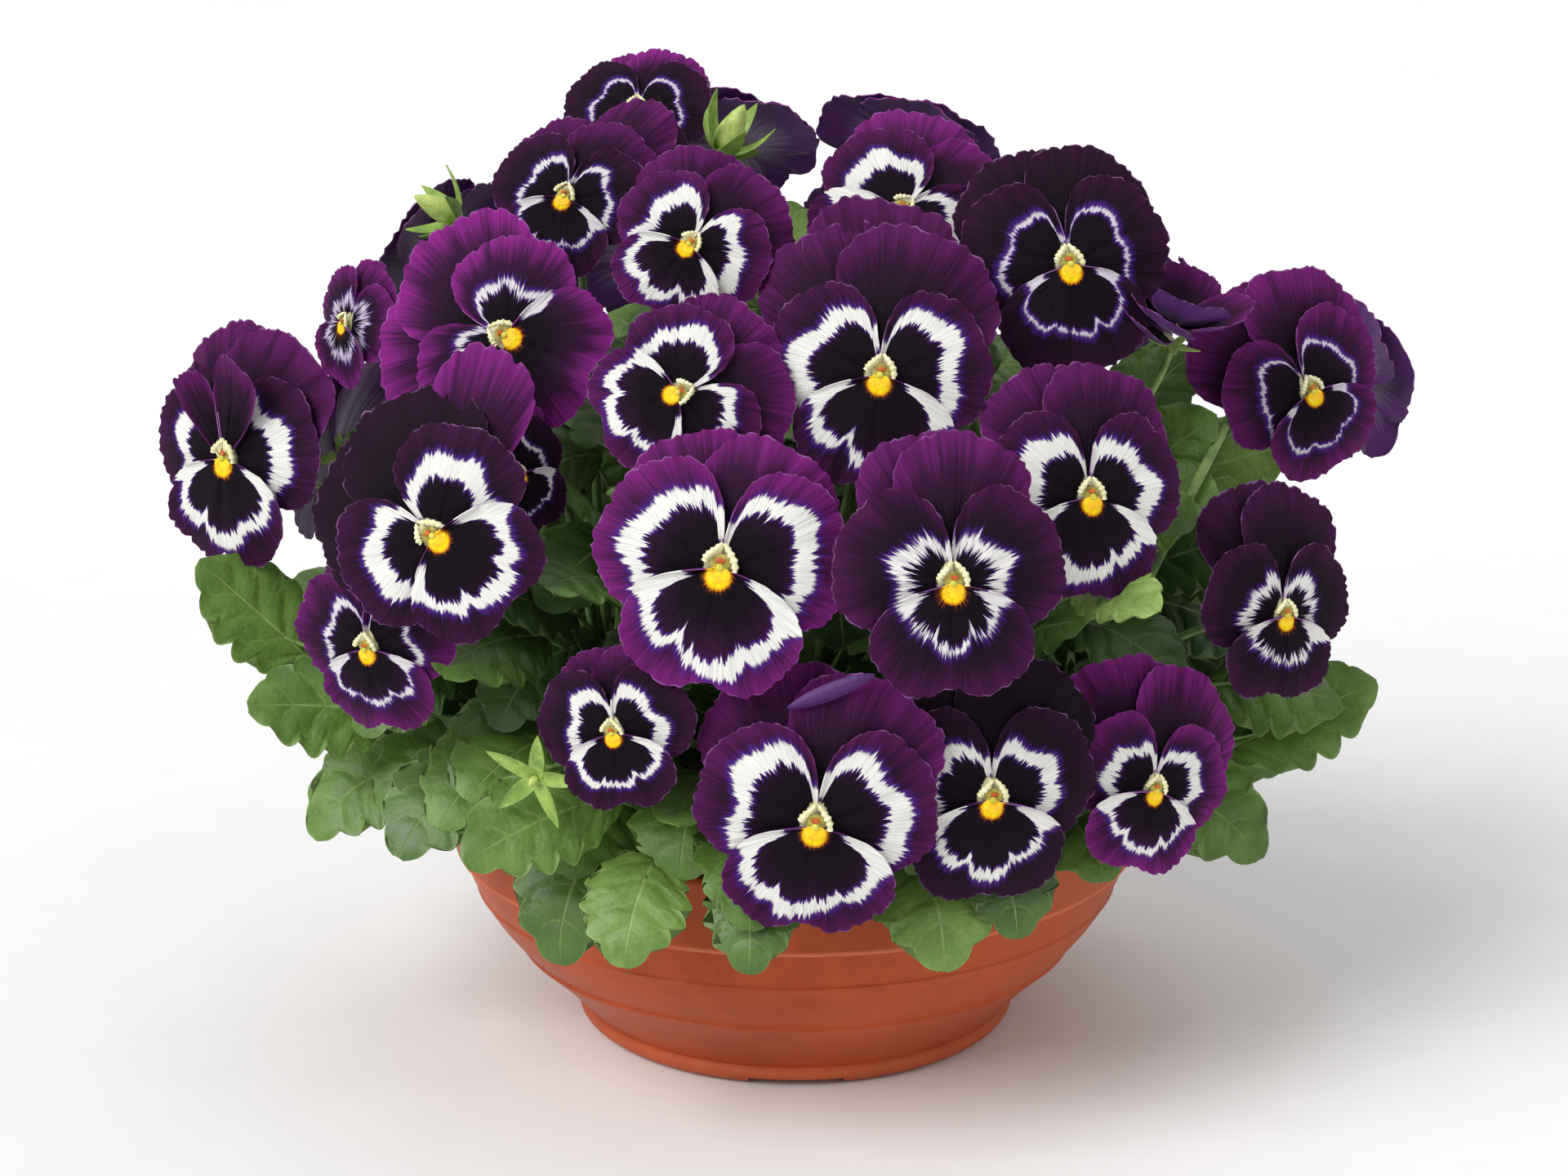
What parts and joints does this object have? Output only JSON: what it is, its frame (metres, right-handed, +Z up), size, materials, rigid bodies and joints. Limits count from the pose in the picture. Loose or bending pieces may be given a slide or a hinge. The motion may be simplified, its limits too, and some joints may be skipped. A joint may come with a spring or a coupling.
{
  "type": "potted pansy planter",
  "caption": "Shallow round moulded bowl planter with drainage, filled with soil and planted with pansies in full flower over scalloped leaves.",
  "frame": {"origin": "middle of the bowl's foot, on the surface that the planter stands on", "axes": "+Z up; -Y towards the front of the planting, where most blooms face; +X to the right seen from the front, along the mound's longest extent"},
  "size_m": [0.4542, 0.3437, 0.3463],
  "materials": {
    "bowl": "terracotta-coloured moulded plastic, satin",
    "soil": "dark crumbly peat-and-bark potting soil, matte",
    "foliage": "living leaf, waxy satin, paler veins",
    "petals_ringed": "velvety purple petals with a white ring round a black blotch",
    "petals_dark": "velvety near-black purple petals with a thin violet ring"
  },
  "bodies": {
    "root": {"bowl": "bowl", "soil": "soil", "plant_1": "foliage", "plant_2": "foliage", "plant_3": "foliage", "plant_4": "foliage", "plant_5": "foliage", "plant_6": "foliage", "plant_7": "foliage", "bloom_01": "petals_ringed", "bloom_02": "petals_ringed", "bloom_03": "petals_ringed", "bloom_04": "petals_dark", "bloom_05": "petals_ringed", "bloom_06": "petals_ringed", "bloom_07": "petals_ringed", "bloom_08": "petals_ringed", "bloom_09": "petals_ringed", "bloom_10": "petals_dark", "bloom_11": "petals_ringed", "bloom_12": "petals_dark", "bloom_13": "petals_ringed", "bloom_14": "petals_ringed", "bloom_15": "petals_ringed", "bloom_16": "petals_ringed", "bloom_17": "petals_ringed", "bloom_18": "petals_ringed", "bloom_19": "petals_ringed", "bloom_20": "petals_ringed", "bloom_21": "petals_ringed", "bloom_22": "petals_dark", "bloom_23": "petals_ringed", "bloom_24": "petals_ringed", "bloom_25": "petals_ringed", "bloom_26": "petals_dark", "bloom_27": "petals_ringed", "bloom_28": "petals_ringed", "bloom_29": "petals_ringed", "bloom_30": "petals_dark", "bloom_31": "petals_ringed", "bloom_32": "petals_dark", "bloom_33": "petals_ringed", "bloom_34": "petals_ringed", "bloom_35": "petals_ringed"}
  },
  "joints": []
}
